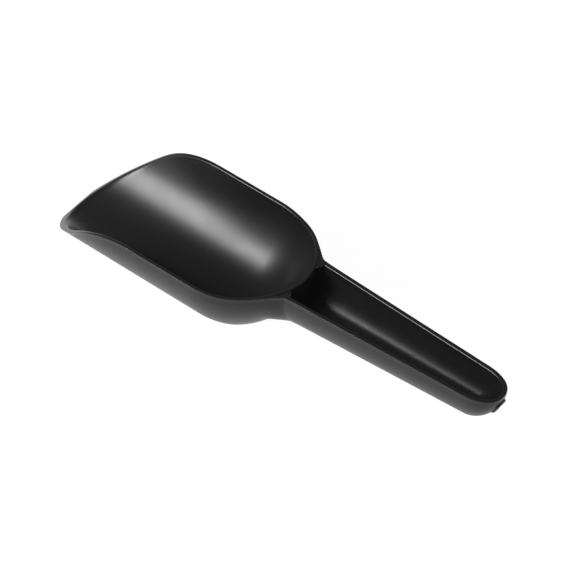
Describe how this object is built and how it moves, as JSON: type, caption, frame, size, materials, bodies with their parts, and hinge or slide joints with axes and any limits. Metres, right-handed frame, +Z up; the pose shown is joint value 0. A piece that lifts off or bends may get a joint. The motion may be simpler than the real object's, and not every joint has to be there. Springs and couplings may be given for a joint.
{
  "type": "hand scoop",
  "caption": "Hand scoop for grain and dry goods: half-round bowl with a slanted mouth and rounded back, open trough handle, hanging eyelet in the end",
  "frame": {"origin": "under the middle of the scoop's length and width, on the surface it rests on", "axes": "+X from the mouth to the end of the handle, +Z up out of the bowl, Y across; the scoop is symmetric about the XZ plane"},
  "size_m": [0.25, 0.0676, 0.0425],
  "materials": {
    "satin_inside": "black plastic, satin, very fine moulded grain",
    "outside_skin": "black plastic, semi-gloss",
    "rim_edge": "black plastic, rounded semi-gloss edge"
  },
  "bodies": {
    "root": {"bowl_shell": "satin_inside", "bowl_rim": "rim_edge", "mouth_lip": "rim_edge", "handle_shell": "outside_skin", "grip_liner": "satin_inside", "handle_rim": "rim_edge", "web_left": "rim_edge", "web_right": "rim_edge", "hanging_eyelet": "outside_skin"}
  },
  "joints": []
}
